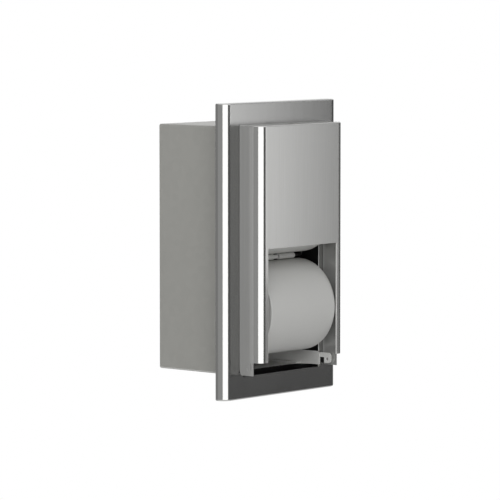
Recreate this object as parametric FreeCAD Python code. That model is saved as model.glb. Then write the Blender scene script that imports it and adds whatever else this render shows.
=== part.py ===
import FreeCAD
import Part

import math
import os

# Recessed stainless steel dispenser for two toilet rolls, one in use and one in reserve.
# X points to the right, Y into the wall and Z up. The origin is the middle of the wall opening, in the wall's face.
# All lengths are millimetres and all angles are degrees.

V = FreeCAD.Vector
ORIGIN = V(0, 0, 0)
ALONG_X = V(1, 0, 0)
ALONG_Y = V(0, 1, 0)
ALONG_Z = V(0, 0, 1)
FULL_TURN = 360.0

# Sheet metal and clearances
sheet = 1.5
wide_bend = 12.0
tight_bend = 2.0
seat_gap = 0.3
running_gap = 0.05
sleeve_gap = 0.1
overrun = 5.0

# Paper rolls, and the room that they have in the box
roll_diameter = 118.6
roll_length = 124.0
roll_shift = 5.5
roll_edge = 1.5
roll_gap = 7.9
roll_front_gap = 0.7
roll_end_gap = 6.5
roll_foot_gap = 17.8
roll_head_gap = 45.1
roll_rear_gap = 49.1

# Cardboard cores and spindles
core_radius = 21.0
core_wall = 1.5
barrel_radius = 17.0
barrel_ribs = 6
rib_width = 3.0
journal_radius = 6.0
journal_gap = 0.1
journal_chamfer = 0.4

# Side guides that carry the spindles
guide_thickness = 1.5
guide_standoff = 3.0
guide_rear_gap = 32.0
guide_head_gap = 24.0
guide_round = 10.0
stop_margin = 4.0
stop_thickness = 1.0
foot_height = 17.0
foot_round = 5.0
foot_leg = 8.0
foot_leg_gap = 1.5
entry_rise = 9.0
entry_angle = 20.0
boss_radius = 4.0
boss_behind_slot = 21.9
boss_rear_inset = 12.0
boss_top_inset = 12.0
boss_rise = 36.0
guide_screw_radius = 1.5
guide_screw_head_radius = 3.0
guide_screw_head = 1.2

# Recess box
box_bend = 2.5
lip_width = 12.0
screw_spacing_x = 100.0
screw_spacing_z = 220.0
screw_hole_radius = 3.25

# Wall flange
flange_depth = 15.0
flange_side_margin = 30.0
flange_end_margin = 29.5
opening_gap = 0.4
opening_step = 2.7
bracket_notch_gap = 0.5

# Studs and nuts that hold the flange to the box's lip
stud_radius = 2.0
stud_length = 9.0
stud_end_inset = 35.5
stud_rows = (-1, 0, 1)
nut_flats = 7.0
nut_height = 3.2
nut_sides = 6

# Finger tray under the roll
tray_side_inset = 0.5
tray_depth = 28.5
tray_straight = 3.5
tray_sink = 9.0
tray_wall = 1.5

# Front cover
cover_projection = 34.4
cover_side_overlap = 2.2
cover_top_overlap = 3.6
window_side = 15.2
window_above_gap = 14.2
tab_drop = 16.5
slit_width = 1.0
slit_height = 9.0
slit_inset = 3.0

# Cover hinge
hinge_out = 10.9
hinge_up = 7.4
pin_radius = 2.0
pin_head_radius = 2.8
pin_head = 0.6
pin_recess = 1.0
washer_radius = 3.6
bracket_thickness = 2.0
bracket_reach = 47.0
bracket_drop = 5.0
bracket_rise = 8.0
bracket_nose = 6.0
bracket_round = 4.5
relief_inset = 0.5
relief_width = 6.5
relief_height = 7.0
pad_sink = 0.2
bracket_rivet_radius = 2.0
bracket_rivet_head_radius = 3.4
bracket_rivet_head = 0.9
bracket_rivet_pitch = 16.0
bracket_rivet_inset = 6.0

# Release bail that holds the reserve roll up
wire_radius = 1.75
wire_bend = 3.5
bail_arm_gap = 0.75
bail_bow = 11.0
bail_pivot_rise = 32.4
bail_tip_inset = 0.2
grip_gap = 0.35
hub_half = 13.5
hub_neck_half = 22.0
hub_neck_radius = 2.7
roller_gap = 2.0
roller_end_gap = 11.5
roller_round = 2.0

# Lock at the top of the cover
lock_setback = 13.4
lock_radius = 8.0
lock_shoulder_radius = 9.5
lock_shoulder = 1.5
lock_length = 14.5
lock_proud = 0.3
plug_radius = 5.5
plug_sink = 0.2
keyway_width = 1.6
keyway_length = 7.0
keyway_depth = 8.0
cam_thickness = 2.0
cam_hub_radius = 8.0
hook_radius = 15.0
hook_wall = 3.0
hook_angles = (-30.0, 15.0)
mouth_angles = (-8.0, 25.0)
cam_screw_radius = 1.5
cam_screw_head_radius = 3.4
cam_screw_head = 2.2
cam_screw_depth = 5.0

# Keeper that the lock's hook takes hold of
keeper_half_width = 14.0
keeper_tail = 14.0
keeper_nose = 4.0
keeper_corner = 4.0
keeper_pin_radius = 2.0
keeper_pin_tail = 1.5
keeper_rivet_radius = 1.6
keeper_rivet_head_radius = 3.0
keeper_rivet_head = 1.0
keeper_rivet_spread = 8.0
keeper_rivet_setback = 4.0

# Worked out from the sizes above: across, from the roll out to the flange
roll_radius = roll_diameter / 2
roll_right = roll_shift + roll_length / 2
guide_inner_x = roll_right + roll_end_gap
guide_outer_x = guide_inner_x + guide_thickness
journal_end = guide_outer_x - journal_gap
box_inner_x = guide_outer_x + guide_standoff
box_half_x = box_inner_x + sheet
flange_half_x = box_half_x + flange_side_margin
opening_x = guide_outer_x + opening_gap
cover_half_x = box_half_x + cover_side_overlap
cover_inner_x = cover_half_x - sheet
window_half_x = cover_half_x - window_side
bracket_inner_x = box_inner_x - bracket_thickness
notch_x = box_inner_x + opening_gap
tray_half_x = guide_inner_x - tray_side_inset

# Upwards, from the floor below the rolls to the ceiling above them
roll_pitch = roll_diameter + roll_gap
room_height = roll_foot_gap + roll_diameter + roll_pitch + roll_head_gap
floor_z = -room_height / 2
ceiling_z = room_height / 2
box_half_z = ceiling_z + sheet
flange_half_z = box_half_z + flange_end_margin
opening_low = floor_z - opening_step
opening_high = ceiling_z + opening_gap
tray_low = floor_z - tray_sink
lower_roll_z = floor_z + roll_foot_gap + roll_radius
upper_roll_z = lower_roll_z + roll_pitch
guide_top = ceiling_z - guide_head_gap
foot_top = floor_z + foot_height
stud_pitch = box_half_z - stud_end_inset
cover_top = ceiling_z + cover_top_overlap
tab_bottom = floor_z
cover_bottom = tab_bottom + tab_drop
window_top = upper_roll_z - roll_radius + window_above_gap
hinge_z = tab_bottom + hinge_up
bracket_low = hinge_z - bracket_drop
bracket_high = hinge_z + bracket_rise

# Into the wall, from the cover's front to the back of the box
flange_face = -flange_depth
flange_back = flange_face + sheet
cover_rear = flange_face - seat_gap
cover_front = flange_face - cover_projection
tab_front = cover_front + wide_bend
hinge_y = flange_face - hinge_out
roll_y = cover_front + sheet + roll_front_gap + roll_radius
box_depth = roll_y + roll_radius + roll_rear_gap + sheet
guide_rear = box_depth - guide_rear_gap
tray_rear = flange_back + tray_depth
tray_corner = tray_depth - tray_straight

# Bores, bail and lock
core_bore = core_radius - core_wall
slot_half = journal_radius + running_gap
bail_arm_x = roll_right + bail_arm_gap + wire_radius
bail_pivot_z = upper_roll_z + bail_pivot_rise
bail_shoulder_z = upper_roll_z - journal_radius - seat_gap - wire_radius
bail_rod_z = (lower_roll_z + upper_roll_z) / 2
grip_radius = roll_pitch / 2 - roll_radius - grip_gap
grip_bore = wire_radius + sleeve_gap
roller_start = hub_neck_half + roller_gap
roller_end = bail_arm_x - wire_bend - roller_end_gap
lock_y = cover_front + lock_setback
lock_low = cover_top - lock_length
cam_top = lock_low - running_gap
cam_low = cam_top - cam_thickness
keeper_pin_y = lock_y + hook_radius
keeper_under = ceiling_z - sheet


def block(x0, x1, y0, y1, z0, z1):
    """Box between two opposite corners."""
    return Part.makeBox(x1 - x0, y1 - y0, z1 - z0, V(x0, y0, z0))


def rod_x(radius, x0, x1, y, z):
    """Round bar along X."""
    return Part.makeCylinder(radius, x1 - x0, V(x0, y, z), ALONG_X)


def rod_y(radius, x, y0, y1, z):
    """Round bar along Y."""
    return Part.makeCylinder(radius, y1 - y0, V(x, y0, z), ALONG_Y)


def rod_z(radius, x, y, z0, z1):
    """Round bar along Z."""
    return Part.makeCylinder(radius, z1 - z0, V(x, y, z0), ALONG_Z)


def mirrored(shape):
    """The same piece on the other side of the middle plane."""
    return shape.mirror(ORIGIN, ALONG_X)


def both_sides(shape):
    """A piece and its mirror image as one group."""
    return Part.makeCompound([shape, mirrored(shape)])


def edges_where(shape, test):
    """Edges whose end points all pass a test."""
    return [edge for edge in shape.Edges if all(test(vertex.Point) for vertex in edge.Vertexes)]


def near(a, b):
    """True where two coordinates are the same."""
    return math.isclose(a, b, abs_tol=Part.Precision.confusion())


def bend(before, corner, after, radius):
    """Arc that rounds a corner between two runs, with its two tangent points."""
    back = (before - corner).normalize()
    ahead = (after - corner).normalize()
    half_angle = back.getAngle(ahead) / 2
    inward = (back + ahead).normalize()
    start = corner + back * (radius / math.tan(half_angle))
    end = corner + ahead * (radius / math.tan(half_angle))
    middle = corner + inward * (radius / math.sin(half_angle) - radius)
    return start, Part.Arc(start, middle, end).toShape(), end


def bent_path(points, radius):
    """Open wire of straight runs joined by tangent arcs."""
    edges = []
    here = points[0]
    for before, corner, after in zip(points, points[1:], points[2:]):
        start, arc, end = bend(before, corner, after, radius)
        edges += [Part.makeLine(here, start), arc]
        here = end
    edges.append(Part.makeLine(here, points[-1]))
    return Part.Wire(edges)


def rounded_plate(corners, thickness):
    """Flat plate from corner points, each with its own radius or zero, and the way it thickens."""
    edges = []
    count = len(corners)
    ends = []
    for i, (point, radius) in enumerate(corners):
        before = corners[i - 1][0]
        after = corners[(i + 1) % count][0]
        if radius > 0:
            start, arc, end = bend(before, point, after, radius)
            ends.append((start, end, arc))
        else:
            ends.append((point, point, None))
    for i, (start, end, arc) in enumerate(ends):
        if arc is not None:
            edges.append(arc)
        edges.append(Part.makeLine(end, ends[(i + 1) % count][0]))
    return Part.Face(Part.Wire(edges)).extrude(thickness)


def folded_block(half_x, front, back, low, high, upright_radius, level_radius, level_edges):
    """Block with wide bends on its upright front edges and tight bends on the named level front edges."""
    body = block(-half_x, half_x, front, back, low, high)
    upright = edges_where(body, lambda p: near(p.y, front))
    upright = [e for e in upright if not near(e.Vertexes[0].Z, e.Vertexes[-1].Z)]
    body = body.makeFillet(upright_radius, upright)
    for level in level_edges:
        chain = edges_where(body, lambda p: near(p.z, level) and p.y < front + upright_radius + sheet)
        chain = [e for e in chain if min(v.Y for v in e.Vertexes) < front + upright_radius / 2]
        body = body.makeFillet(level_radius, chain)
    return body


def wall_flange():
    """Frame that covers the edge of the wall opening, bent back to the wall all round."""
    low, high = -flange_half_z, flange_half_z
    outer = folded_block(flange_half_x, flange_face, 0, low, high, wide_bend, tight_bend, (low, high))
    inner = folded_block(flange_half_x - sheet, flange_back, overrun, low + sheet, high - sheet,
                         wide_bend - sheet, tight_bend - sheet, (low + sheet, high - sheet))
    opening = block(-opening_x, opening_x, flange_face - overrun, overrun, opening_low, opening_high)
    notch = block(-notch_x, notch_x, flange_face - overrun, overrun,
                  bracket_low - bracket_notch_gap, bracket_high + bracket_notch_gap)
    return outer.cut(inner).cut([opening, notch])


def rounded_can(half_x, front, back, half_z, radius):
    """Block with rounded long edges and a rounded back."""
    body = block(-half_x, half_x, front, back, -half_z, half_z)
    chain = [e for e in body.Edges if not all(near(v.Y, front) for v in e.Vertexes)]
    return body.makeFillet(radius, chain)


def stud_places():
    """Places of the studs along both sides of the box's lip."""
    x = box_half_x + lip_width / 2
    return [(side * x, row * stud_pitch) for side in (-1, 1) for row in stud_rows]


def tray_outline(inset, low, high):
    """Upright block with the tray's outline, square at the flange and rounded at the back."""
    half = tray_half_x - inset
    radius = tray_corner - inset
    corners = [(V(-half, flange_back + inset, low), 0), (V(half, flange_back + inset, low), 0),
               (V(half, tray_rear - inset, low), radius), (V(-half, tray_rear - inset, low), radius)]
    return rounded_plate(corners, V(0, 0, high - low))


def guide_boss_places():
    """Places of the bosses behind each side guide."""
    front, rear = roll_y + boss_behind_slot, guide_rear - boss_rear_inset
    low, high = floor_z + boss_rise, guide_top - boss_top_inset
    return [(front, high), (rear, high), (front, low), (rear, low)]


def bracket_rivet_places():
    """Places of the rivets in each hinge bracket, along Y."""
    first = hinge_y + bracket_reach - bracket_rivet_inset
    return [first, first - bracket_rivet_pitch]


def recess_box():
    """Folded box in the wall, open in front, with a lip that the flange is bolted to."""
    lip_x, lip_z = box_half_x + lip_width, box_half_z + lip_width
    lip = block(-lip_x, lip_x, flange_back, flange_back + sheet, -lip_z, lip_z)
    shell = rounded_can(box_half_x, flange_back, box_depth, box_half_z, box_bend).fuse(lip)
    hollow = rounded_can(box_inner_x, flange_back - overrun, box_depth - sheet, ceiling_z, box_bend - sheet)
    shell = shell.cut(hollow).removeSplitter()
    cuts = [tray_outline(0, tray_low - overrun, floor_z + overrun)]
    for x in (-screw_spacing_x / 2, screw_spacing_x / 2):
        for z in (-screw_spacing_z / 2, screw_spacing_z / 2):
            cuts.append(rod_y(screw_hole_radius, x, box_depth - overrun, box_depth + overrun, z))
    for x, z in stud_places():
        cuts.append(rod_y(stud_radius + sleeve_gap, x, flange_back - overrun, flange_back + overrun, z))
    for y in bracket_rivet_places():
        cuts.append(both_sides(rod_x(bracket_rivet_radius, box_inner_x - overrun, box_half_x + overrun, y, hinge_z)))
    for side in (-1, 1):
        cuts.append(rod_z(keeper_rivet_radius, side * keeper_rivet_spread, keeper_rivet_setback,
                          ceiling_z - overrun, box_half_z + overrun))
    return shell.cut(cuts)


def finger_tray():
    """Shallow tray let into the floor below the roll, so that fingers reach the paper's end."""
    body = tray_outline(0, tray_low, floor_z).cut(tray_outline(tray_wall, tray_low + tray_wall, floor_z + overrun))
    half = tray_half_x - tray_wall
    mouth = block(-half, half, flange_back - overrun, flange_back + tray_wall + overrun, opening_low, floor_z + overrun)
    return body.cut(mouth)


def flange_studs():
    """Studs welded to the back of the flange."""
    return Part.makeCompound([rod_y(stud_radius, x, flange_back, flange_back + stud_length, z)
                              for x, z in stud_places()])


def flange_nuts():
    """Hexagon nuts on the studs."""
    corner = nut_flats / 2 / math.cos(math.pi / nut_sides)
    start = flange_back + sheet
    nuts = []
    for x, z in stud_places():
        angles = [math.radians(FULL_TURN * k / nut_sides) for k in range(nut_sides)]
        points = [V(x + corner * math.cos(a), start, z + corner * math.sin(a)) for a in angles]
        nut = Part.Face(Part.makePolygon(points + points[:1])).extrude(V(0, nut_height, 0))
        nuts.append(nut.cut(rod_y(stud_radius, x, start - overrun, start + nut_height + overrun, z)))
    return Part.makeCompound(nuts)


def front_cover():
    """Folded cover with a closed upper face, a window that is open at the bottom, and a hinge tab on each side."""
    half = cover_half_x
    outer = folded_block(half, cover_front, cover_rear, cover_bottom, cover_top, wide_bend, tight_bend, (cover_top,))
    inner = folded_block(cover_inner_x, cover_front + sheet, cover_rear + overrun, cover_bottom - overrun,
                         cover_top - sheet, wide_bend - sheet, tight_bend - sheet, (cover_top - sheet,))
    shell = outer.cut(inner)
    tab = block(cover_inner_x, half, tab_front, cover_rear, tab_bottom, cover_bottom)
    shell = shell.fuse([tab, mirrored(tab)]).removeSplitter()
    # The tab's lower back corner turns past the flange, so it keeps within this circle round the pin.
    turning = rod_x(cover_rear - hinge_y, cover_inner_x - overrun, half + overrun, hinge_y, hinge_z)
    corner = block(cover_inner_x - overrun, half + overrun, hinge_y, cover_rear + overrun,
                   tab_bottom - overrun, hinge_z).cut(turning)
    hole = rod_x(pin_radius + running_gap, cover_inner_x - overrun, half + overrun, hinge_y, hinge_z)
    slit_y = tab_front + slit_inset
    slit = block(cover_inner_x - overrun, half + overrun, slit_y, slit_y + slit_width,
                 cover_bottom - slit_height, cover_bottom)
    window = block(-window_half_x, window_half_x, cover_front - overrun, cover_front + wide_bend,
                   cover_bottom - overrun, window_top)
    lock_hole = rod_z(lock_radius, 0, lock_y, cover_top - overrun, cover_top + overrun)
    return shell.cut([both_sides(corner), both_sides(hole), both_sides(slit), window, lock_hole])


def hinge_bracket():
    """Right-hand strap that reaches out of the box to carry the cover's pin, with a relief at the flange's edge."""
    back = hinge_y + bracket_reach
    nose = hinge_y - bracket_nose
    x = bracket_inner_x
    strap = rounded_plate([(V(x, back, bracket_low), 0), (V(x, back, bracket_high), 0),
                           (V(x, nose, bracket_high), bracket_round), (V(x, nose, bracket_low), bracket_round)],
                          V(bracket_thickness, 0, 0))
    relief_back = flange_face + relief_inset
    holes = [rod_x(pin_radius, x - overrun, box_inner_x + overrun, hinge_y, hinge_z),
             block(x - overrun, box_inner_x + overrun, relief_back - relief_width, relief_back,
                   bracket_low - overrun, bracket_low + relief_height)]
    holes += [rod_x(bracket_rivet_radius, x - overrun, box_inner_x + overrun, y, hinge_z)
              for y in bracket_rivet_places()]
    return strap.cut(holes)


def domed_head(radius, height, place, direction):
    """Low rivet head with a rounded rim."""
    head = Part.makeCylinder(radius, height, place, direction)
    far = place + direction * height
    rim = edges_where(head, lambda p: near((p - far).dot(direction), 0))
    return head.makeFillet(height / 2, [e for e in rim if e.Closed and len(e.Vertexes) == 1])


def hinge_pins():
    """Pins riveted into the brackets, with their heads outside the cover's tabs."""
    tip = cover_half_x + running_gap
    shank = rod_x(pin_radius, bracket_inner_x + pin_recess, tip, hinge_y, hinge_z)
    head = domed_head(pin_head_radius, pin_head, V(tip, hinge_y, hinge_z), ALONG_X)
    return both_sides(shank.fuse(head).removeSplitter())


def hinge_washers():
    """Friction washers between the brackets and the cover's tabs."""
    end = cover_inner_x - running_gap
    ring = rod_x(washer_radius, box_inner_x, end, hinge_y, hinge_z)
    return both_sides(ring.cut(rod_x(pin_radius + running_gap, box_inner_x, end, hinge_y, hinge_z)))


def hinge_pads():
    """Rubber pads in the brackets' reliefs that keep the cover's tabs from rattling."""
    relief_back = flange_face + relief_inset
    pad = block(bracket_inner_x + pad_sink, cover_inner_x - seat_gap, relief_back - relief_width, relief_back,
                bracket_low, bracket_low + relief_height)
    edge = block(notch_x - opening_gap, cover_inner_x + overrun, flange_face, relief_back + overrun,
                 bracket_low - overrun, bracket_high + overrun)
    return both_sides(pad.cut(edge))


def bracket_rivets():
    """Rivets that hold the hinge brackets to the box's side walls, flush outside."""
    rivets = []
    for y in bracket_rivet_places():
        shank = rod_x(bracket_rivet_radius, bracket_inner_x, box_half_x, y, hinge_z)
        head = domed_head(bracket_rivet_head_radius, bracket_rivet_head, V(bracket_inner_x, y, hinge_z),
                          ALONG_X.negative())
        rivets.append(both_sides(shank.fuse(head).removeSplitter()))
    return Part.makeCompound(rivets)


def side_guide():
    """Right-hand guide plate with a slot that the spindles' ends run down, and an entry at the front."""
    x = guide_inner_x
    plate = rounded_plate([(V(x, flange_back, foot_top), 0), (V(x, flange_back, guide_top), guide_round),
                           (V(x, guide_rear, guide_top), guide_round), (V(x, guide_rear, foot_top), 0)],
                          V(guide_thickness, 0, 0))
    x0, x1 = guide_inner_x - overrun, guide_outer_x + overrun
    bend_z = upper_roll_z + entry_rise
    slot = block(x0, x1, roll_y - slot_half, roll_y + slot_half, lower_roll_z, bend_z)
    seat = rod_x(slot_half, x0, x1, roll_y, lower_roll_z)
    crown = rod_x(slot_half, x0, x1, roll_y, bend_z)
    entry = block(x0, x1, flange_back - roll_y - slot_half - overrun, 0, -slot_half, slot_half)
    entry.rotate(ORIGIN, ALONG_X, -entry_angle)
    entry.translate(V(0, roll_y, bend_z))
    pivot = rod_x(wire_radius + running_gap, x0, x1, roll_y, bail_pivot_z)
    holes = [rod_x(guide_screw_radius, x0, x1, y, z) for y, z in guide_boss_places()]
    return plate.cut([slot, seat, crown, entry, pivot] + holes)


def guide_foot():
    """Right-hand angle on the box's floor that the guide plate stands on, with its leg behind the tray."""
    x = guide_inner_x
    upright = rounded_plate([(V(x, flange_face, floor_z), 0), (V(x, flange_face, foot_top), foot_round),
                             (V(x, guide_rear, foot_top), 0), (V(x, guide_rear, floor_z), 0)],
                            V(guide_thickness, 0, 0))
    leg = block(x - foot_leg, x, tray_rear + foot_leg_gap, guide_rear, floor_z, floor_z + guide_thickness)
    return upright.fuse(leg).removeSplitter()


def end_stops():
    """Strips behind the guides' slots that keep the spindles from shifting sideways."""
    half = slot_half + stop_margin
    strip = block(guide_outer_x, guide_outer_x + stop_thickness, roll_y - half, roll_y + half,
                  lower_roll_z - half, upper_roll_z + entry_rise + half)
    return both_sides(strip)


def guide_bosses():
    """Bosses on the box's side walls that the guides stand on."""
    bosses = []
    for y, z in guide_boss_places():
        boss = rod_x(boss_radius, guide_outer_x, box_inner_x, y, z)
        bosses.append(both_sides(boss.cut(rod_x(guide_screw_radius, guide_outer_x, box_inner_x, y, z))))
    return Part.makeCompound(bosses)


def guide_screws():
    """Screws through the guides into the bosses."""
    screws = []
    for y, z in guide_boss_places():
        shank = rod_x(guide_screw_radius, guide_inner_x, box_inner_x, y, z)
        head = domed_head(guide_screw_head_radius, guide_screw_head, V(guide_inner_x, y, z), ALONG_X.negative())
        screws.append(both_sides(shank.fuse(head).removeSplitter()))
    return Part.makeCompound(screws)


def spindle(z):
    """Ribbed plastic spindle with a plain journal at each end."""
    body = rod_x(barrel_radius, -roll_right, roll_right, roll_y, z)
    tip = core_bore - sleeve_gap
    for k in range(barrel_ribs):
        rib = block(-roll_right, roll_right, -rib_width / 2, rib_width / 2, 0, tip)
        rib.rotate(ORIGIN, ALONG_X, FULL_TURN * k / barrel_ribs)
        rib.translate(V(0, roll_y, z))
        body = body.fuse(rib)
    journal = rod_x(journal_radius, roll_right, journal_end, roll_y, z)
    rim = edges_where(journal, lambda p: near(p.x, journal_end))
    journal = journal.makeChamfer(journal_chamfer, [e for e in rim if len(e.Vertexes) == 1])
    return body.fuse([journal, mirrored(journal)]).removeSplitter()


def tube_x(outer, inner, x0, x1, z):
    """Tube along X on the rolls' plane."""
    return rod_x(outer, x0, x1, roll_y, z).cut(rod_x(inner, x0, x1, roll_y, z))


def cardboard_core(z):
    """Cardboard tube in the middle of a roll."""
    return tube_x(core_radius, core_bore, roll_right - roll_length, roll_right, z)


def paper_roll(z):
    """Wound paper with soft edges."""
    body = rod_x(roll_radius, roll_right - roll_length, roll_right, roll_y, z)
    body = body.makeFillet(roll_edge, [e for e in body.Edges if len(e.Vertexes) == 1])
    return body.cut(rod_x(core_radius, roll_right - roll_length - overrun, roll_right + overrun, roll_y, z))


def release_bail():
    """Bent wire that hangs from the guides: its shoulders carry the reserve spindle, its rod lies between the rolls."""
    tip_x = guide_outer_x - bail_tip_inset
    bow_y = roll_y - bail_bow
    right = [V(tip_x, roll_y, bail_pivot_z), V(bail_arm_x, roll_y, bail_pivot_z),
             V(bail_arm_x, bow_y, bail_pivot_z - bail_bow), V(bail_arm_x, bow_y, bail_shoulder_z),
             V(bail_arm_x, roll_y, bail_shoulder_z), V(bail_arm_x, roll_y, bail_rod_z)]
    left = [V(-p.x, p.y, p.z) for p in reversed(right)]
    path = bent_path(right + left, wire_bend)
    section = Part.Wire(Part.makeCircle(wire_radius, right[0], ALONG_X))
    return path.makePipeShell([section], True, False)


def grip(radius, x0, x1):
    """Plain sleeve on the bail's rod."""
    return rod_x(radius, x0, x1, roll_y, bail_rod_z)


def bail_hub():
    """Middle sleeve on the bail's rod, with a narrower neck at each end."""
    body = grip(hub_neck_radius, -hub_neck_half, hub_neck_half).fuse(grip(grip_radius, -hub_half, hub_half))
    return body.cut(grip(grip_bore, -hub_neck_half, hub_neck_half)).removeSplitter()


def bail_rollers():
    """Outer rollers on the bail's rod, rounded at the outer end."""
    roller = grip(grip_radius, roller_start, roller_end)
    rim = edges_where(roller, lambda p: near(p.x, roller_end))
    roller = roller.makeFillet(roller_round, [e for e in rim if len(e.Vertexes) == 1])
    return both_sides(roller.cut(grip(grip_bore, roller_start, roller_end)))


def lock_housing():
    """Fixed barrel of the lock, flush with the cover's top and seated under it by a shoulder."""
    body = rod_z(lock_radius, 0, lock_y, lock_low, cover_top + lock_proud)
    under = cover_top - sheet
    shoulder = rod_z(lock_shoulder_radius, 0, lock_y, under - lock_shoulder, under)
    bore = rod_z(plug_radius + running_gap, 0, lock_y, lock_low - overrun, cover_top + overrun)
    return body.fuse(shoulder).cut(bore).removeSplitter()


def lock_plug():
    """Turning plug of the lock with its keyway."""
    top = cover_top + lock_proud - plug_sink
    body = rod_z(plug_radius, 0, lock_y, cam_top, top)
    keyway = block(-keyway_length / 2, keyway_length / 2, lock_y - keyway_width / 2, lock_y + keyway_width / 2,
                   top - keyway_depth, top + overrun)
    hole = rod_z(cam_screw_radius, 0, lock_y, cam_top - overrun, cam_top + cam_screw_depth)
    return body.cut([keyway, hole])


def sector(radius, angles):
    """Wedge of a disc at the cam's level, between two angles from the X axis."""
    rays = [V(2 * radius * math.cos(math.radians(a)), 2 * radius * math.sin(math.radians(a)), 0) for a in angles]
    outline = Part.makePolygon([ORIGIN] + rays + [ORIGIN])
    wedge = Part.Face(outline).extrude(V(0, 0, cam_thickness))
    return wedge.common(rod_z(radius, 0, 0, 0, cam_thickness))


def lock_cam():
    """Hook that swings round the keeper's pin."""
    throat = keeper_pin_radius + seat_gap
    body = sector(hook_radius + throat + hook_wall, hook_angles).fuse(rod_z(cam_hub_radius, 0, 0, 0, cam_thickness))
    mouth = sector(hook_radius + throat, mouth_angles).cut(rod_z(hook_radius - throat, 0, 0, 0, cam_thickness))
    body = body.cut([mouth, rod_z(cam_screw_radius, 0, 0, 0, cam_thickness)]).removeSplitter()
    body.translate(V(0, lock_y, cam_low))
    return body


def cam_screw():
    """Screw that holds the hook to the plug."""
    shank = rod_z(cam_screw_radius, 0, lock_y, cam_low, cam_top + cam_screw_depth)
    head = domed_head(cam_screw_head_radius, cam_screw_head, V(0, lock_y, cam_low), ALONG_Z.negative())
    return shank.fuse(head).removeSplitter()


def lock_keeper():
    """Plate under the box's top that reaches out through the opening and holds the keeper's pin."""
    nose = keeper_pin_y - keeper_nose
    w = keeper_half_width
    plate = rounded_plate([(V(-w, keeper_tail, keeper_under), 0), (V(w, keeper_tail, keeper_under), 0),
                           (V(w, nose, keeper_under), keeper_corner), (V(-w, nose, keeper_under), keeper_corner)],
                          V(0, 0, sheet))
    holes = [rod_z(keeper_pin_radius, 0, keeper_pin_y, keeper_under, ceiling_z)]
    holes += [rod_z(keeper_rivet_radius, side * keeper_rivet_spread, keeper_rivet_setback, keeper_under, ceiling_z)
              for side in (-1, 1)]
    return plate.cut(holes)


def keeper_pin():
    """Pin that the hook takes hold of."""
    return rod_z(keeper_pin_radius, 0, keeper_pin_y, cam_low - keeper_pin_tail, ceiling_z)


def keeper_rivets():
    """Rivets that hold the keeper to the box's top."""
    shank = rod_z(keeper_rivet_radius, keeper_rivet_spread, keeper_rivet_setback, keeper_under, box_half_z)
    low = domed_head(keeper_rivet_head_radius, keeper_rivet_head,
                     V(keeper_rivet_spread, keeper_rivet_setback, keeper_under), ALONG_Z.negative())
    high = domed_head(keeper_rivet_head_radius, keeper_rivet_head,
                      V(keeper_rivet_spread, keeper_rivet_setback, box_half_z), ALONG_Z)
    return both_sides(shank.fuse([low, high]).removeSplitter())


def all_pieces():
    """Every piece of the dispenser under its own name."""
    bracket = hinge_bracket()
    guide = side_guide()
    foot = guide_foot()
    pieces = {
        "recess_box": recess_box(),
        "wall_flange": wall_flange(),
        "flange_studs": flange_studs(),
        "flange_nuts": flange_nuts(),
        "finger_tray": finger_tray(),
        "hinge_bracket_right": bracket,
        "hinge_bracket_left": mirrored(bracket),
        "bracket_rivets": bracket_rivets(),
        "hinge_pins": hinge_pins(),
        "hinge_washers": hinge_washers(),
        "hinge_pads": hinge_pads(),
        "side_guide_right": guide,
        "side_guide_left": mirrored(guide),
        "guide_foot_right": foot,
        "guide_foot_left": mirrored(foot),
        "end_stops": end_stops(),
        "guide_bosses": guide_bosses(),
        "guide_screws": guide_screws(),
        "lock_keeper": lock_keeper(),
        "keeper_pin": keeper_pin(),
        "keeper_rivets": keeper_rivets(),
        "front_cover": front_cover(),
        "lock_housing": lock_housing(),
        "lock_plug": lock_plug(),
        "lock_cam": lock_cam(),
        "cam_screw": cam_screw(),
        "release_bail": release_bail(),
        "bail_hub": bail_hub(),
        "bail_rollers": bail_rollers(),
    }
    for place, z in (("lower", lower_roll_z), ("upper", upper_roll_z)):
        pieces[place + "_spindle"] = spindle(z)
        pieces[place + "_core"] = cardboard_core(z)
        pieces[place + "_roll"] = paper_roll(z)
    return pieces


os.makedirs("parts", exist_ok=True)
for name, shape in all_pieces().items():
    print(name, "solids", len(shape.Solids), "valid", shape.isValid(), "volume", round(shape.Volume))
    shape.exportStep("parts/" + name + ".step")
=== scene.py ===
"""Studio scene of a recessed steel dispenser for two toilet rolls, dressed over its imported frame."""

import logging
import math
import random
from dataclasses import dataclass, replace
from enum import Enum
from typing import Dict, Optional, Sequence, Tuple, Union

import bmesh
import bpy
from mathutils import Matrix, Vector


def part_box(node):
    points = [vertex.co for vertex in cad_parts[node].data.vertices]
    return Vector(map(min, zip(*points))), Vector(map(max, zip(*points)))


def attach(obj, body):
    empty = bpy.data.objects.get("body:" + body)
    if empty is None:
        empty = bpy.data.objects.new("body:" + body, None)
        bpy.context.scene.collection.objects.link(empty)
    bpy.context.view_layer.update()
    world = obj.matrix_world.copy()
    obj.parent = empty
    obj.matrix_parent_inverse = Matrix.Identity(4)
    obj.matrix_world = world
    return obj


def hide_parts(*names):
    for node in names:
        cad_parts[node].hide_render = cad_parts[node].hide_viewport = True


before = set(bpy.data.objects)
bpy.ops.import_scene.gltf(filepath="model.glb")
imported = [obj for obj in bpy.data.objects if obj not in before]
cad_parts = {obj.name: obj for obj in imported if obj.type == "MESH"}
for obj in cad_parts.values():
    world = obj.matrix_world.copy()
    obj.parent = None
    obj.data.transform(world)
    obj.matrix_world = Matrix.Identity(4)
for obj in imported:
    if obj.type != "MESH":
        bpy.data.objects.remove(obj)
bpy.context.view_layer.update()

LOG = logging.getLogger("dispenser")
MM = 0.001
TOUCH = MM / 100
WELD = MM / 1000
BELOW_ALL, ABOVE_ALL = -1.0, 1.0
NOISE_MEAN = 0.5
WHITE = (1.0, 1.0, 1.0, 1.0)

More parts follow.
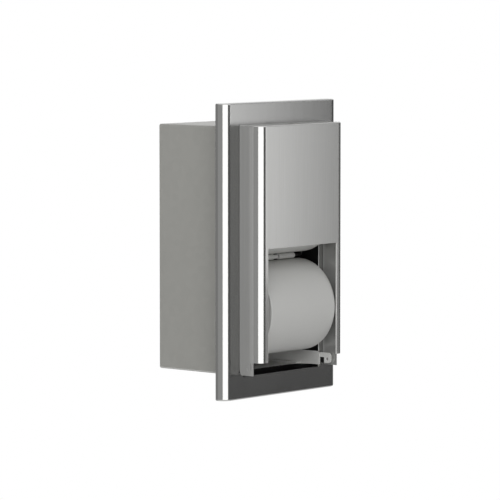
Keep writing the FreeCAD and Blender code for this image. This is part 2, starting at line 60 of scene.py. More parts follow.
Colour = Tuple[float, float, float]
Point = Tuple[float, float, float]
Limits = Tuple[float, float]
Term = Union["Signal", float]


class Body(Enum):
    """Bodies of the frame that new pieces ride on."""

    LOWER_PAPER = "lower_paper"
    UPPER_PAPER = "upper_paper"


class Slot(Enum):
    """A material slot of the record; nothing in this script uses it."""

    TISSUE = "tissue_paper"


class Signal:
    """A shader socket that plain arithmetic can be written on."""

    def __init__(self, graph: "Graph", socket: bpy.types.NodeSocket) -> None:
        """Keeps the graph and the socket."""
        self.graph = graph
        self.socket = socket

    def maths(self, operation: str, *terms: Term) -> "Signal":
        """Adds one Math node.

        Args:
            operation: The Math node's operation.
            terms: Its inputs in order.

        Returns:
            The node's result.
        """
        return self.graph.node("ShaderNodeMath", {"operation": operation}, dict(enumerate(terms)))

    def __add__(self, other: Term) -> "Signal":
        """Sum."""
        return self.maths("ADD", self, other)

    def __radd__(self, other: Term) -> "Signal":
        """Sum with a number in front."""
        return self.maths("ADD", other, self)

    def __sub__(self, other: Term) -> "Signal":
        """Difference."""
        return self.maths("SUBTRACT", self, other)

    def __rsub__(self, other: Term) -> "Signal":
        """Difference from a number."""
        return self.maths("SUBTRACT", other, self)

    def __mul__(self, other: Term) -> "Signal":
        """Product."""
        return self.maths("MULTIPLY", self, other)

    def __rmul__(self, other: Term) -> "Signal":
        """Product with a number in front."""
        return self.maths("MULTIPLY", other, self)

    def __truediv__(self, other: Term) -> "Signal":
        """Quotient."""
        return self.maths("DIVIDE", self, other)

    def __gt__(self, other: Term) -> "Signal":
        """One where this is the larger, else zero."""
        return self.maths("GREATER_THAN", self, other)

    def __lt__(self, other: Term) -> "Signal":
        """One where this is the smaller, else zero."""
        return self.maths("LESS_THAN", self, other)

    def either(self, other: Term) -> "Signal":
        """The larger of two."""
        return self.maths("MAXIMUM", self, other)

    def fraction(self) -> "Signal":
        """What is left after whole turns."""
        return self.maths("FRACT", self)

    def size(self) -> "Signal":
        """Distance from zero."""
        return self.maths("ABSOLUTE", self)

    def sine(self) -> "Signal":
        """Sine of an angle in radians."""
        return self.maths("SINE", self)

    def angle(self, across: Term) -> "Signal":
        """Angle in radians of a point that is this high and that far across."""
        return self.maths("ARCTAN2", self, across)

    def centred(self) -> "Signal":
        """Noise from zero to one, moved to lie evenly round zero."""
        return self - NOISE_MEAN

    def ramp(self, limits: Limits) -> "Signal":
        """Smooth step from zero at the first limit to one at the second."""
        return self.graph.node("ShaderNodeMapRange", {"interpolation_type": "SMOOTHSTEP"},
                               {"Value": self, "From Min": limits[0], "From Max": limits[1]})


class Graph:
    """Node tree of one material or of the world."""

    def __init__(self, tree: bpy.types.NodeTree) -> None:
        """Starts from an empty tree."""
        tree.nodes.clear()
        self.tree = tree

    def node(self, kind: str, settings: Optional[Dict[str, object]] = None,
             inputs: Optional[Dict[Union[int, str], object]] = None, output: Union[int, str] = 0) -> Signal:
        """Adds a node of any kind.

        Args:
            kind: The node's type.
            settings: Its own properties, which are set first.
            inputs: Values or links of its sockets, by name or index.
            output: The socket to return.

        Returns:
            The chosen output, or the first input of a node that has no output.
        """
        made = self.tree.nodes.new(kind)
        for name, value in (settings or {}).items():
            setattr(made, name, value)
        for key, value in (inputs or {}).items():
            if isinstance(value, Signal):
                self.tree.links.new(value.socket, made.inputs[key])
            else:
                made.inputs[key].default_value = value
        return Signal(self, made.outputs[output] if made.outputs else made.inputs[0])

    def coordinates(self) -> Signal:
        """Object coordinates."""
        return self.node("ShaderNodeTexCoord", output="Object")

    def axes(self) -> Tuple[Signal, Signal, Signal]:
        """The three Object coordinates as separate numbers."""
        split = self.node("ShaderNodeSeparateXYZ", inputs={"Vector": self.coordinates()}).socket.node
        return tuple(Signal(self, split.outputs[axis]) for axis in "XYZ")

    def seen(self) -> Signal:
        """One for what the camera sees, itself or in metal or glass, and zero for light on matt surfaces."""
        rays = [self.node("ShaderNodeLightPath", output=name)
                for name in ("Is Camera Ray", "Is Glossy Ray", "Is Transmission Ray")]
        return rays[0].either(rays[1]).either(rays[2])

    def noise(self, repeats: Point, detail: float = 2.0) -> Signal:
        """Soft noise from zero to one.

        Args:
            repeats: Repeats per metre along each axis.
            detail: How many finer layers it has.

        Returns:
            The noise.
        """
        vector = self.node("ShaderNodeMapping", {"vector_type": "POINT"},
                           {"Vector": self.coordinates(), "Scale": repeats})
        return self.node("ShaderNodeTexNoise", inputs={"Vector": vector, "Scale": 1.0, "Detail": detail})

    def mix(self, share: Term, first: object, second: object) -> Signal:
        """Blends two colours.

        Args:
            share: How much of the second colour shows.
            first: Colour or signal.
            second: Colour or signal.

        Returns:
            The blended colour.
        """
        ends = [(*c, 1.0) if isinstance(c, tuple) else c for c in (first, second)]
        return self.node("ShaderNodeMix", {"data_type": "RGBA"}, {0: share, 6: ends[0], 7: ends[1]}, output=2)

    def shaded(self, share: Term, colour: Colour, limits: Limits) -> Signal:
        """Varies a colour between a darker and a lighter tone.

        Args:
            share: From zero, the darker tone, to one, the lighter.
            colour: The colour.
            limits: Factors of the darker and the lighter tone.

        Returns:
            The varied colour.
        """
        dark, light = (tuple(c * factor for c in colour) for factor in limits)
        return self.mix(share, dark, light)

    def bump(self, height: Signal, distance: float, strength: float) -> Signal:
        """Normal that is bent by a height.

        Args:
            height: From zero to one.
            distance: Height of one, in metres.
            strength: Share of the effect.

        Returns:
            The normal.
        """
        return self.node("ShaderNodeBump", inputs={"Height": height, "Distance": distance, "Strength": strength})


def even(size: float) -> Point:
    """Repeats per metre of a grain that has the same size along every axis."""
    return (1 / size,) * 3


def upright(width: float, length: float) -> Point:
    """Repeats per metre of an upright streak of that width and length."""
    return (1 / width, 1 / width, 1 / length)


class Finish:
    """A surface finish that makes one material."""

    name: str

    def material(self) -> bpy.types.Material:
        """Makes the material.

        Returns:
            The finished material.
        """
        made = bpy.data.materials.new(self.name)
        made.use_nodes = True
        graph = Graph(made.node_tree)
        graph.node("ShaderNodeOutputMaterial", inputs={"Surface": self.shader(graph)})
        return made

    def shader(self, graph: Graph) -> Signal:
        """The material's shader."""
        return graph.node("ShaderNodeBsdfPrincipled", inputs=self.surface(graph))

    def surface(self, graph: Graph) -> Dict[str, object]:
        """Inputs of the shader, by name."""
        raise NotImplementedError


@dataclass(frozen=True)
class BrushedSteel(Finish):
    """Stainless sheet with fine upright brushing, bends and window cut edges painted bright as highlights, and a
    matt top face painted pale as light from above.
    """

    name: str
    colour: Colour
    metallic: float
    roughness: float
    bend_x: float
    bend_y: float
    bend_radius: float = 12 * MM
    # Painted highlight: a brighter colour on the bends stands in for the light band on the rounded edges.
    bend_highlight_colour: Colour = (0.48, 0.48, 0.47)
    bend_roughness: float = 0.12
    bend_side: Limits = (0.08, 0.25)
    bend_front: Limits = (0.0, 0.15)
    line_width: float = 1.6 * MM
    line_length: float = 140 * MM
    line_share: float = 0.55
    hair_width: float = 0.45 * MM
    hair_length: float = 40 * MM
    hair_share: float = 0.45
    cloud_repeats: Point = (7.0, 7.0, 4.0)
    cloud_spread: float = 0.04
    tones: Limits = (0.88, 1.12)
    roughness_spread: float = 0.06
    scratch_depth: float = 0.004 * MM
    scratch_strength: float = 0.3
    cut_half: float = 0.0
    cut_top: float = BELOW_ALL
    cut_reach: float = 0.3 * MM
    # Painted highlight: the window's cut edges below the given height are pale and not metallic, as if catching
    # light.
    cut_edge_highlight_colour: Colour = (0.86, 0.86, 0.84)
    # Painted light: above this height the top face is pale and matt, as if lit from above.
    top_light_from: float = ABOVE_ALL
    top_light_colour: Colour = (0.92, 0.92, 0.90)

    def surface(self, graph: Graph) -> Dict[str, object]:
        """Inputs of the shader: streaks up the sheet, painted highlights on the bends and the window's cut edges,
        and painted light on the matt top face.
        """
        lines = graph.noise(upright(self.line_width, self.line_length))
        hairs = graph.noise(upright(self.hair_width, self.hair_length))
        streaks = self.line_share * lines + self.hair_share * hairs
        clouds = graph.noise(self.cloud_repeats)
        spread = self.roughness_spread * streaks.centred() + self.cloud_spread * clouds.centred()
        x, _, z = graph.axes()
        # Painted highlight along the window's cut edges.
        cut = ((x.size() - self.cut_half).size() < self.cut_reach) * (z < self.cut_top)
        # Painted light on the top face: pale and matt above the given height.
        matt = z > self.top_light_from
        # The bends' brighter colour is a painted highlight; their lower roughness and higher metallic are the
        # finish.
        bend_polish_and_highlight = self.bend_polish_and_highlight(graph) * (1 - matt)
        sheet = graph.mix(matt, graph.shaded(streaks, self.colour, self.tones), self.top_light_colour)
        shine = (self.metallic + (1 - self.metallic) * bend_polish_and_highlight) * (1 - matt.either(cut))
        return {"Base Color": graph.mix(bend_polish_and_highlight, graph.mix(cut, sheet, self.cut_edge_highlight_colour), self.bend_highlight_colour),
                "Metallic": shine,
                "Roughness": self.roughness + (self.bend_roughness - self.roughness) * bend_polish_and_highlight + spread,
                "Normal": graph.bump(hairs, self.scratch_depth, self.scratch_strength)}

    def bend_polish_and_highlight(self, graph: Graph) -> Signal:
        """One on the wide upright bends and zero elsewhere; there the sheet is smoother and more metallic, and its
        colour is painted brighter as a highlight on the rounded edges.
        """
        x, y, _ = graph.axes()
        across = (x.size() - self.bend_x) / self.bend_radius
        forward = (self.bend_y - y) / self.bend_radius
        return across.ramp(self.bend_side) * forward.ramp(self.bend_front)


@dataclass(frozen=True)
class ZincSheet(Finish):
    """Zinc coated sheet with a dull, faintly clouded face, painted pale at one height as light on the box's floor.
    """

    name: str
    colour: Colour
    roughness: float
    metallic: float = 0.10
    flake: float = 9 * MM
    flake_share: float = 0.35
    grain: float = 0.8 * MM
    grain_share: float = 0.25
    grain_depth: float = 0.01 * MM
    grain_strength: float = 0.4
    cloud_repeats: Point = (9.0, 9.0, 5.0)
    cloud_share: float = 0.40
    detail: float = 3.0
    tones: Limits = (0.95, 1.05)
    roughness_spread: float = 0.12
    # Painted light: the face at this height is made pale as if lit.
    floor_light_z: float = BELOW_ALL
    floor_light_reach: float = 0.3 * MM
    floor_light_colour: Colour = (0.92, 0.92, 0.90)

    def surface(self, graph: Graph) -> Dict[str, object]:
        """Inputs of the shader: crystals in the coat, a fine grain over them, and a pale band of painted light at
        one height.
        """
        cells = graph.node("ShaderNodeTexVoronoi", {"feature": "F1"},
                           {"Vector": graph.coordinates(), "Scale": 1 / self.flake}, output="Color")
        flake = graph.node("ShaderNodeSeparateColor", inputs={"Color": cells})
        grain = graph.noise(even(self.grain), self.detail)
        clouds = graph.noise(self.cloud_repeats, self.detail)
        tone = self.flake_share * flake + self.grain_share * grain + self.cloud_share * clouds
        # Painted light on the face at the given height, the box's floor.
        floor_light = (graph.axes()[2] - self.floor_light_z).size() < self.floor_light_reach
        return {"Base Color": graph.mix(floor_light, graph.shaded(tone, self.colour, self.tones), self.floor_light_colour),
                "Metallic": self.metallic,
                "Roughness": self.roughness + self.roughness_spread * tone.centred(),
                "Normal": graph.bump(grain, self.grain_depth, self.grain_strength)}


@dataclass(frozen=True)
class PlainMetal(Finish):
    """Smooth metal with faint handling marks."""

    name: str
    colour: Colour
    roughness: float
    grain: float = 0.7 * MM
    grain_share: float = 0.5
    grain_detail: float = 3.0
    grain_depth: float = 0.006 * MM
    grain_strength: float = 0.4
    smear_repeats: Point = (60.0, 60.0, 60.0)
    smear_share: float = 0.5
    smear_detail: float = 4.0
    tones: Limits = (0.88, 1.10)
    roughness_spread: float = 0.14

    def surface(self, graph: Graph) -> Dict[str, object]:
        """Inputs of the shader: a fine grain and soft smears."""
        grain = graph.noise(even(self.grain), self.grain_detail)
        smears = graph.noise(self.smear_repeats, self.smear_detail)
        tone = self.grain_share * grain + self.smear_share * smears
        return {"Base Color": graph.shaded(tone, self.colour, self.tones), "Metallic": 1.0,
                "Roughness": self.roughness + self.roughness_spread * smears.centred(),
                "Normal": graph.bump(grain, self.grain_depth, self.grain_strength)}


@dataclass(frozen=True)
class MouldedPlastic(Finish):
    """Plastic, rubber or powder coat with a fine grain."""

    name: str
    colour: Colour
    roughness: float
    shine: float = 0.5
    grain: float = 0.5 * MM
    grain_depth: float = 0.02 * MM
    grain_strength: float = 0.6
    flow_repeats: Point = (40.0, 90.0, 90.0)
    flow_detail: float = 3.0
    tones: Limits = (0.90, 1.10)
    roughness_spread: float = 0.10

    def surface(self, graph: Graph) -> Dict[str, object]:
        """Inputs of the shader: grain in the relief, and slight flow marks in the tone."""
        grain = graph.noise(even(self.grain))
        flow = graph.noise(self.flow_repeats, self.flow_detail)
        return {"Base Color": graph.shaded(flow, self.colour, self.tones),
                "Roughness": self.roughness + self.roughness_spread * grain.centred(),
                "Specular IOR Level": self.shine,
                "Normal": graph.bump(grain, self.grain_depth, self.grain_strength)}


@dataclass(frozen=True)
class CoatWithLitEdge(MouldedPlastic):
    """Black coat with an uncoated front edge, which is painted pale as a highlight on the edge."""

    edge_y: float = 0.0
    bare_edge_highlight: Colour = (0.90, 0.90, 0.88)
    chip_repeats: Point = (300.0, 300.0, 300.0)
    chip_reach: float = 0.2 * MM

    def surface(self, graph: Graph) -> Dict[str, object]:
        """Inputs of the shader: the coat, with the uncoated front edge painted pale as a highlight."""
        inputs = super().surface(graph)
        chips = graph.noise(self.chip_repeats)
        bare_edge_highlight = graph.axes()[1] < self.edge_y + self.chip_reach * chips
        inputs["Base Color"] = graph.mix(bare_edge_highlight, inputs["Base Color"], self.bare_edge_highlight)
        return inputs


@dataclass(frozen=True)
class CoreBoard(Finish):
    """Spiral wound cardboard with a seam along its helix."""

    name: str
    centre_y: float
    centre_z: float
    colour: Colour = (0.42, 0.33, 0.235)
    tones: Limits = (0.80, 1.15)
    fibre_repeats: Point = (900.0, 500.0, 500.0)
    fibre_detail: float = 4.0
    fibre_depth: float = 0.05 * MM
    fibre_strength: float = 0.5
    seam_pitch: float = 46 * MM
    seam_width: float = 1.0 * MM
    seam_tone: float = 0.45
    seam_share: float = 0.7
    roughness: float = 0.80
    roughness_spread: float = 0.15

    def surface(self, graph: Graph) -> Dict[str, object]:
        """Inputs of the shader: fibres, and the darker line where the wound strip meets itself."""
        x, y, z = graph.axes()
        turn = (z - self.centre_z).angle(y - self.centre_y) / math.tau
        helix = (x / self.seam_pitch + turn).fraction()
        seam = helix < self.seam_width / self.seam_pitch
        fibres = graph.noise(self.fibre_repeats, self.fibre_detail)
        body = graph.shaded(fibres, self.colour, self.tones)
        shade = tuple(c * self.seam_tone for c in self.colour)
        return {"Base Color": graph.mix(self.seam_share * seam, body, shade),
                "Roughness": self.roughness + self.roughness_spread * fibres.centred(),
                "Normal": graph.bump(fibres - seam, self.fibre_depth, self.fibre_strength)}


@dataclass(frozen=True)
class Tissue(Finish):
    """Soft embossed tissue wound on a roll."""

    name: str
    centre_y: float
    centre_z: float
    radius: float
    colour: Colour = (0.72, 0.72, 0.70)
    tones: Limits = (0.95, 1.03)
    crepe: float = 0.9 * MM
    crepe_width: float = 1.5 * MM
    crepe_detail: float = 3.0
    crepe_height: float = 0.45
    crepe_tone: float = 0.5
    quilt: float = 8.5 * MM
    quilt_height: float = 0.35
    soft_repeats: Point = (22.0, 22.0, 22.0)
    soft_height: float = 0.20
    soft_tone: float = 0.5
    sheet: float = 124 * MM
    perforation: float = 0.5 * MM
    cut: float = 3.0 * MM
    cut_share: float = 0.6
    cut_tone: float = 0.3
    relief: float = 0.09 * MM
    relief_strength: float = 0.5
    roughness: float = 0.92
    roughness_spread: float = 0.08
    shine: float = 0.15

    def surface(self, graph: Graph) -> Dict[str, object]:
        """Inputs of the shader: crepe, shallow embossing and rows of perforations round the roll."""
        x, y, z = graph.axes()
        along = (z - self.centre_z).angle(y - self.centre_y) * self.radius
        crepe = graph.noise((1 / self.crepe_width, 1 / self.crepe, 1 / self.crepe), self.crepe_detail)
        quilt = math.tau / self.quilt
        wave = ((x * quilt).sine() * (along * quilt).sine()).size()
        soft = graph.noise(self.soft_repeats)
        near = (along / self.sheet).fraction() < self.perforation / self.sheet
        row = near * ((x / self.cut).fraction() < self.cut_share)
        height = self.crepe_height * crepe + self.quilt_height * wave + self.soft_height * soft - row
        tone = self.crepe_tone * crepe + self.soft_tone * soft - self.cut_tone * row
        return {"Base Color": graph.shaded(tone, self.colour, self.tones),
                "Roughness": self.roughness - self.roughness_spread * crepe.centred(),
                "Specular IOR Level": self.shine,
                "Normal": graph.bump(height, self.relief, self.relief_strength)}


@dataclass(frozen=True)
class StudioFloor(Finish):
    """Pale matt floor that is lifted towards white where the camera sees it, also in metal."""

    name: str = "pale_floor"
    colour: Colour = (0.86, 0.86, 0.86)
    lift: float = 0.5
    grain_repeats: Point = (60.0, 60.0, 60.0)
    roughness: float = 0.90
    roughness_spread: float = 0.06

    def surface(self, graph: Graph) -> Dict[str, object]:
        """Inputs of the shader: an even tone with a faint grain."""
        grain = graph.noise(self.grain_repeats)
        return {"Base Color": (*self.colour, 1.0),
                "Roughness": self.roughness + self.roughness_spread * grain.centred(),
                "Emission Color": graph.mix(graph.seen(), (0.0, 0.0, 0.0), (self.lift,) * 3),
                "Emission Strength": 1.0}


@dataclass(frozen=True)
class PlainGlow(Finish):
    """Even glow of a studio card, which is weaker in a reflection of a reflection."""

    name: str
    level: float
    echo: float
    direct_depth: float = 1.5

    def shader(self, graph: Graph) -> Signal:
        """The card's shader, which only gives light."""
        direct = graph.node("ShaderNodeLightPath", output="Ray Depth") < self.direct_depth
        tone = graph.mix(direct, (self.echo,) * 3, (self.level,) * 3)
        return graph.node("ShaderNodeEmission", inputs={"Color": tone, "Strength": 1.0})


def dress(finish: Finish, nodes: Sequence[str]) -> None:
    """Puts a finish on carried-over nodes of the frame.

    Args:
        finish: The finish.
        nodes: Names of the nodes.
    """
    material = finish.material()
    for name in nodes:
        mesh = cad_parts[name].data
        mesh.materials.clear()
        mesh.materials.append(material)
        LOG.info("dressed %s in %s", name, finish.name)


def new_piece(name: str, mesh: bmesh.types.BMesh, material: bpy.types.Material) -> bpy.types.Object:
    """Makes an object of a finished bmesh.

    Args:
        name: The object's name.
        mesh: Its shape, which is freed.
        material: Its material.

    Returns:
        The object, at the origin.
    """
    data = bpy.data.meshes.new(name)
    mesh.to_mesh(data)
    mesh.free()
    data.materials.append(material)
    made = bpy.data.objects.new(name, data)
    bpy.context.scene.collection.objects.link(made)
    return made


@dataclass
class PaperRoll:
    """One wound roll with soft ends, rings of layers and a loose sheet end."""

    place: str
    body: Body
    seed: int
    soft_edge: float = 1.8 * MM
    edge_steps: int = 5
    skin: float = 0.3 * MM
    rings: int = 34
    ring_depth: float = 0.22 * MM
    ring_span: Limits = (0.01, 0.97)
    dish: float = 0.5 * MM
    outer_rows: int = 18
    steps: int = 180
    unround: float = 0.18 * MM
    third_wave: float = 0.5
    twist_wave: float = 0.4
    twist_length: float = 19 * MM
    tail_angle: float = 100.0
    tail_turn: float = 46.0
    tail_steps: int = 24
    tail_lift: float = 0.12 * MM
    tail_thickness: float = 0.16 * MM

    def __post_init__(self) -> None:
        """Reads the roll's place and size from the frame."""
        low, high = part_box(self.place + "_roll")
        core_low, core_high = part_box(self.place + "_core")
        self.left, self.right = low.x, high.x
        self.axis = Vector(((low.x + high.x) / 2, (low.y + high.y) / 2, (low.z + high.z) / 2))
        self.radius = (high.y - low.y) / 2 - self.skin
        self.bore = (core_high.y - core_low.y) / 2

    def build(self) -> None:
        """Makes the roll and its loose end, and puts them on the roll's body."""
        material = Tissue(self.place + "_tissue", self.axis.y, self.axis.z, self.radius).material()
        wound = new_piece(self.place + "_paper", self.wound_layers(), material)
        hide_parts(self.place + "_roll")
        tail = new_piece(self.place + "_paper_end", self.loose_end(), material)
        for piece in (wound, tail):
            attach(piece, self.body.value)
            LOG.info("modelled %s", piece.name)

    def wound_layers(self) -> bmesh.types.BMesh:
        """Makes the wound body.

        Returns:
            A closed ring that is spun from a section with ridged ends.
        """
        mesh = bmesh.new()
        section = [(self.left, self.bore), (self.left, self.radius),
                   (self.right, self.radius), (self.right, self.bore)]
        corners = [mesh.verts.new((x, self.axis.y, self.axis.z + r)) for x, r in section]
        sides = [mesh.edges.new((corners[i], corners[(i + 1) % len(corners)])) for i in range(len(corners))]
        bmesh.ops.subdivide_edges(mesh, edges=[sides[0], sides[2]], cuts=self.rings)
        bmesh.ops.subdivide_edges(mesh, edges=[sides[1]], cuts=self.outer_rows)
        self.ridge_ends(mesh)
        rim = [v for v in mesh.verts if self.height(v) > self.radius - TOUCH and not self.inside(v.co.x)]
        bmesh.ops.bevel(mesh, geom=rim, offset=self.soft_edge, offset_type="OFFSET", segments=self.edge_steps,
                        profile=0.5, affect="VERTICES", material=-1)
        bmesh.ops.spin(mesh, geom=mesh.verts[:] + mesh.edges[:], cent=self.axis, axis=(1, 0, 0), angle=math.tau,
                       steps=self.steps, use_merge=True)
        bmesh.ops.remove_doubles(mesh, verts=mesh.verts, dist=WELD)
        self.slacken(mesh)
        bmesh.ops.recalc_face_normals(mesh, faces=mesh.faces)
        self.shade_smooth(mesh)
        return mesh

    @staticmethod
    def shade_smooth(mesh: bmesh.types.BMesh) -> None:
        """Shades all faces smooth."""
        for face in mesh.faces:
            face.smooth = True

    def height(self, vertex: bmesh.types.BMVert) -> float:
        """Distance of a point from the roll's axis."""
        return math.hypot(vertex.co.y - self.axis.y, vertex.co.z - self.axis.z)

    def depth_share(self, vertex: bmesh.types.BMVert) -> float:
        """How far out a point is in the winding, from zero at the core to one at the outside."""
        return (self.height(vertex) - self.bore) / (self.radius - self.bore)

    def inside(self, x: float) -> bool:
        """True between the two ends of the roll."""
        return self.left + TOUCH < x < self.right - TOUCH

    def ridge_ends(self, mesh: bmesh.types.BMesh) -> None:
        """Moves the layers at both ends in by unequal steps.

        Args:
            mesh: The section, before it is spun.
        """
        draw = random.Random(self.seed)
        for vertex in sorted(mesh.verts, key=lambda v: (v.co.x, v.co.z)):
            share = self.depth_share(vertex)
            if self.ring_span[0] < share < self.ring_span[1] and not self.inside(vertex.co.x):
                inward = self.ring_depth * draw.random() + self.dish * (1 - share) ** 2
                vertex.co.x += inward if vertex.co.x < self.axis.x else -inward

    def slacken(self, mesh: bmesh.types.BMesh) -> None:
        """Takes the roll slightly out of round, as loose winding does.

        Args:
            mesh: The spun body.
        """
        for vertex in mesh.verts:
            away = vertex.co - self.axis
            turn = math.atan2(away.z, away.y)
            share = max(0.0, self.depth_share(vertex))
            wave = (math.sin(2 * turn + self.seed) + self.third_wave * math.sin(3 * turn)
                    + self.twist_wave * math.sin(away.x / self.twist_length + turn))
            inward = self.unround * share * (1 + wave / 2)
            vertex.co.y -= inward * math.cos(turn)
            vertex.co.z -= inward * math.sin(turn)

    def loose_end(self) -> bmesh.types.BMesh:
        """Makes the last stretch of the sheet, which lies on the layer below and lifts at its edge.

        Returns:
            A thin curved sheet.
        """
        mesh = bmesh.new()
        ends = [mesh.verts.new((x, self.axis.y, self.axis.z + self.radius))
                for x in (self.left + self.soft_edge, self.right - self.soft_edge)]
        edge = mesh.edges.new(ends)
        bmesh.ops.subdivide_edges(mesh, edges=[edge], cuts=self.outer_rows)
        bmesh.ops.rotate(mesh, verts=mesh.verts, cent=self.axis,
                         matrix=Matrix.Rotation(math.radians(-self.tail_angle), 3, "X"))
        bmesh.ops.spin(mesh, geom=mesh.verts[:] + mesh.edges[:], cent=self.axis, axis=(1, 0, 0),
                       angle=math.radians(self.tail_turn), steps=self.tail_steps)
        first = math.radians(90 - self.tail_angle)
        for vertex in mesh.verts:
            away = vertex.co - self.axis
            share = (math.atan2(away.z, away.y) - first) % math.tau / math.radians(self.tail_turn)
            lift = self.tail_lift * min(1.0, share) ** 3
            vertex.co += Vector((0, away.y, away.z)).normalized() * lift
        bmesh.ops.recalc_face_normals(mesh, faces=mesh.faces)
        bmesh.ops.solidify(mesh, geom=mesh.faces[:], thickness=self.tail_thickness)
        self.shade_smooth(mesh)
        return mesh


@dataclass
class SteelCase:
    """The box in the wall with its flange, cover, guides, hinge brackets and tray."""

    flange: BrushedSteel = BrushedSteel("flange_steel", (0.34, 0.34, 0.335), metallic=1.0, roughness=0.21,
                                        bend_x=98 * MM, bend_y=-3 * MM)
    # The cover's bends and lower window edges carry painted highlights, and its top face above 157.3 mm is painted
    # pale as light from above.
    cover: BrushedSteel = BrushedSteel("cover_steel", (0.48, 0.48, 0.47), metallic=0.40, roughness=0.14,
                                       bend_x=70.2 * MM, bend_y=-37.4 * MM, cut_half=67 * MM, cut_top=4.6 * MM,
                                       top_light_from=157.3 * MM)
    # The pale band at the height of the box's floor is painted light on the floor.
    box: ZincSheet = ZincSheet("zinc_sheet", (0.455, 0.453, 0.425), roughness=0.36, floor_light_z=-154 * MM)
    # Painted light: a paler copy of the box's zinc, so the guide feet and brackets under the roll look lit in its
    # shade; the washers, keeper and bosses share it.
    lit_pale_zinc: ZincSheet = ZincSheet("foot_zinc_painted_light", (0.82, 0.82, 0.80), roughness=0.38)
    # Near-black; on the side guides it stands in for the shade inside the box: painted shade. The end stops share
    # it.
    coat: MouldedPlastic = MouldedPlastic("guide_coat", (0.004, 0.004, 0.004), roughness=0.60, shine=0.15)
    # Near-black rubber; on the hinge pads it stands in for the dark gap behind the brackets' relief: painted shade.
    rubber: MouldedPlastic = MouldedPlastic("black_rubber", (0.006, 0.006, 0.006), roughness=0.75, shine=0.15)
    hardware: PlainMetal = PlainMetal("plated_hardware", (0.60, 0.60, 0.59), roughness=0.28)
    # Near-black with little shine; on the tray it also stands in for the shade in the recess under the opening:
    # painted shade.
    tray: MouldedPlastic = MouldedPlastic("black_plastic", (0.003, 0.003, 0.003), roughness=0.55, shine=0.08)

    def build(self) -> None:
        """Dresses the nodes of the case."""
        dress(self.flange, ["wall_flange"])
        dress(self.cover, ["front_cover", "hinge_pins"])
        dress(self.box, ["recess_box"])
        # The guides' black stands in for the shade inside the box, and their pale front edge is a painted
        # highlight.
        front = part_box("side_guide_right")[0].y
        guide = CoatWithLitEdge("guide_coat_lit_edge", self.coat.colour, self.coat.roughness, self.coat.shine, edge_y=front)
        dress(guide, ["side_guide_right", "side_guide_left"])
        dress(self.coat, ["end_stops"])
        # The pads' black is painted shade for the gap behind the brackets' relief.
        dress(self.rubber, ["hinge_pads"])
        # These parts take the paler zinc as painted light in the shade under the roll.
        dress(self.lit_pale_zinc, ["guide_foot_right", "guide_foot_left", "hinge_bracket_right", "hinge_bracket_left",
                           "hinge_washers", "lock_keeper", "guide_bosses"])
        dress(self.hardware, ["flange_studs", "flange_nuts", "bracket_rivets", "guide_screws", "keeper_pin",
                              "keeper_rivets"])
        dress(self.tray, ["finger_tray"])


@dataclass
class CoverLock:
    """The lock in the top of the cover."""

    plated: PlainMetal = PlainMetal("lock_nickel", (0.36, 0.355, 0.34), roughness=0.34)

    def build(self) -> None:
        """Dresses the lock's nodes."""
        dress(self.plated, ["lock_housing", "lock_plug", "lock_cam", "cam_screw"])


@dataclass
class RollCarrier:
    """The release bail with its sleeves, the spindles and the cores."""

    # Near-black; on the bail wire it also stands in for the shade between the rolls, where the wire would otherwise
    # catch light: painted shade.
    wire: MouldedPlastic = MouldedPlastic("black_coat", (0.015, 0.015, 0.015), roughness=0.40)
    sleeve: MouldedPlastic = MouldedPlastic("pale_plastic", (0.80, 0.80, 0.78), roughness=0.42)

    def build(self) -> None:
        """Dresses the carrier's nodes."""
        dress(self.wire, ["release_bail"])
        dress(self.sleeve, ["bail_hub", "bail_rollers", "lower_spindle", "upper_spindle"])
        for place in ("lower", "upper"):
            low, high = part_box(place + "_core")
            dress(CoreBoard(place + "_board", (low.y + high.y) / 2, (low.z + high.z) / 2), [place + "_core"])


@dataclass(frozen=True)
class Panel:
    """An upright lamp or card between two bearings and two heights, and how bright it looks, where one is white."""

    name: str
    first: float
    last: float
    reach: float
    low: float
    high: float
    glow: float


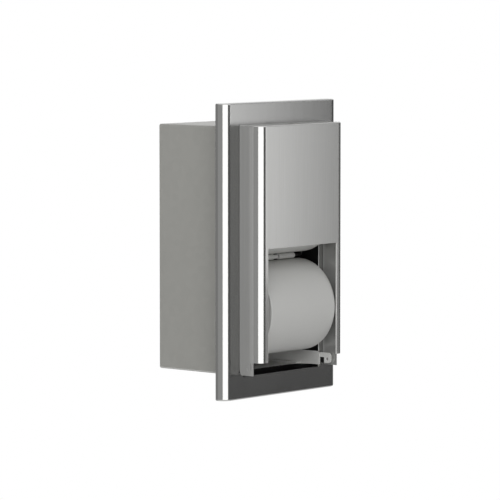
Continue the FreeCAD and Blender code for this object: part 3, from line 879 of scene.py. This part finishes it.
@dataclass
class Studio:
    """Camera, lamps, cards, floor and background."""

    aim: Point = (-0.0194, 0.0215, -0.0033)
    azimuth: float = -49.286
    elevation: float = 4.674
    distance: float = 4.4183
    lens: float = 251.7
    sensor: float = 36.0
    ambient: float = 0.09
    bend: Point = (-0.085, -0.035, 0.0)
    lamps: Tuple[Panel, ...] = (
        Panel("key_lamp", first=-8.0, last=68.0, reach=1.7, low=0.05, high=1.35, glow=1.95),
        Panel("fill_lamp", first=85.0, last=140.0, reach=1.7, low=0.5, high=1.4, glow=0.65),
        Panel("low_lamp", first=42.0, last=80.0, reach=1.7, low=-0.36, high=0.06, glow=2.9),
        Panel("side_lamp", first=195.0, last=260.0, reach=1.7, low=-0.1, high=1.2, glow=1.1),
    )
    cards: Tuple[Panel, ...] = (
        Panel("left_card", first=-95.0, last=28.5, reach=2.1, low=-2.5, high=2.5, glow=0.48),
        Panel("key_card", first=28.5, last=93.0, reach=2.1, low=-2.5, high=2.5, glow=2.15),
        Panel("front_card", first=93.0, last=200.0, reach=2.1, low=-2.5, high=0.75, glow=0.14),
    )
    fill_card: Panel = Panel("fill_card", first=124.0, last=138.0, reach=1.5, low=-0.17, high=2.0, glow=1.9)
    fade_to: float = 146.4
    fade_steps: int = 8
    card_steps: int = 24
    echo: float = 0.72
    floor_z: float = -0.80
    floor_size: float = 3.2

    def build(self) -> None:
        """Makes the camera, the light and the floor."""
        self.camera()
        self.world()
        self.floor()
        self.lights()
        bpy.context.scene.view_settings.view_transform = "Standard"

    def camera(self) -> None:
        """Makes the camera at the photograph's angle."""
        data = bpy.data.cameras.new("camera")
        data.lens = self.lens
        data.sensor_width = self.sensor
        made = bpy.data.objects.new("camera", data)
        turn, rise = math.radians(self.azimuth), math.radians(self.elevation)
        back = Vector((math.sin(turn) * math.cos(rise), -math.cos(turn) * math.cos(rise), math.sin(rise)))
        made.location = Vector(self.aim) + back * self.distance
        made.rotation_mode = "QUATERNION"
        made.rotation_quaternion = (-back).to_track_quat("-Z", "Y")
        bpy.context.scene.collection.objects.link(made)
        bpy.context.scene.camera = made

    def world(self) -> None:
        """Makes a white background that metal shows too, with a softer level of light on matt surfaces."""
        world = bpy.data.worlds.new("studio")
        bpy.context.scene.world = world
        world.use_nodes = True
        graph = Graph(world.node_tree)
        white = graph.node("ShaderNodeBackground", inputs={"Color": WHITE, "Strength": 1.0})
        soft = graph.node("ShaderNodeBackground", inputs={"Color": WHITE, "Strength": self.ambient})
        both = graph.node("ShaderNodeMixShader", inputs={0: graph.seen(), 1: soft, 2: white})
        graph.node("ShaderNodeOutputWorld", inputs={"Surface": both})

    def floor(self) -> None:
        """Makes the plain pale floor, well below the dispenser."""
        mesh = bmesh.new()
        bmesh.ops.create_grid(mesh, x_segments=1, y_segments=1, size=self.floor_size / 2)
        bmesh.ops.translate(mesh, verts=mesh.verts, vec=(0, 0, self.floor_z))
        new_piece("floor", mesh, StudioFloor().material())

    def bearing(self, angle: float, reach: float, height: float) -> Vector:
        """Place at an angle in plan, counted from the left side of the dispenser round to its front.

        Args:
            angle: Degrees from the left side towards the front.
            reach: Distance from the bends on the dispenser's left.
            height: Height above the middle of the wall opening.

        Returns:
            The place.
        """
        turn = math.radians(angle)
        return Vector(self.bend) + Vector((-math.cos(turn) * reach, -math.sin(turn) * reach, height))

    def lamp(self, panel: Panel) -> None:
        """Makes a soft lamp that faces the dispenser and doesn't show in reflections.

        Args:
            panel: Its place and brightness.
        """
        start, end = (self.bearing(angle, panel.reach, 0) for angle in (panel.first, panel.last))
        width, tall = (end - start).length, panel.high - panel.low
        data = bpy.data.lights.new(panel.name, "AREA")
        data.shape = "RECTANGLE"
        data.size, data.size_y = width, tall
        data.energy = panel.glow * math.pi * width * tall
        made = bpy.data.objects.new(panel.name, data)
        made.location = (start + end) / 2 + Vector((0, 0, (panel.low + panel.high) / 2))
        made.rotation_mode = "QUATERNION"
        made.rotation_quaternion = (-made.location).to_track_quat("-Z", "Y")
        made.visible_camera = made.visible_glossy = False
        bpy.context.scene.collection.objects.link(made)

    def card(self, panel: Panel) -> None:
        """Makes a curved card that only shows in reflections.

        Args:
            panel: Its place and brightness.
        """
        mesh = bmesh.new()
        ends = [mesh.verts.new(self.bearing(panel.first, panel.reach, z)) for z in (panel.low, panel.high)]
        mesh.edges.new(ends)
        bmesh.ops.spin(mesh, geom=mesh.verts[:] + mesh.edges[:], cent=self.bend, axis=(0, 0, 1),
                       angle=math.radians(panel.last - panel.first), steps=self.card_steps)
        glow = PlainGlow(panel.name + "_glow", panel.glow, min(panel.glow, self.echo))
        made = new_piece(panel.name, mesh, glow.material())
        made.visible_camera = made.visible_diffuse = made.visible_shadow = made.visible_transmission = False

    def lights(self) -> None:
        """Places the lamps, then the cards, of which the fill card fades out in steps towards the right."""
        for panel in self.lamps:
            self.lamp(panel)
        for panel in (*self.cards, self.fill_card):
            self.card(panel)
        width = (self.fade_to - self.fill_card.last) / self.fade_steps
        for step in range(self.fade_steps):
            edge = self.fill_card.last + step * width
            level = self.fill_card.glow * (1 - (step + 0.5) / self.fade_steps)
            self.card(replace(self.fill_card, name=f"fade_card_{step}", first=edge, last=edge + width, glow=level))


def main() -> None:
    """Builds the dispenser's looks and the studio round it."""
    logging.basicConfig(level=logging.INFO, format="%(name)s: %(message)s")
    parts = [SteelCase(), CoverLock(), RollCarrier(), PaperRoll("lower", Body.LOWER_PAPER, 3),
             PaperRoll("upper", Body.UPPER_PAPER, 8), Studio()]
    for part in parts:
        part.build()
        LOG.info("finished %s", type(part).__name__)


if __name__ == "__main__":
    main()
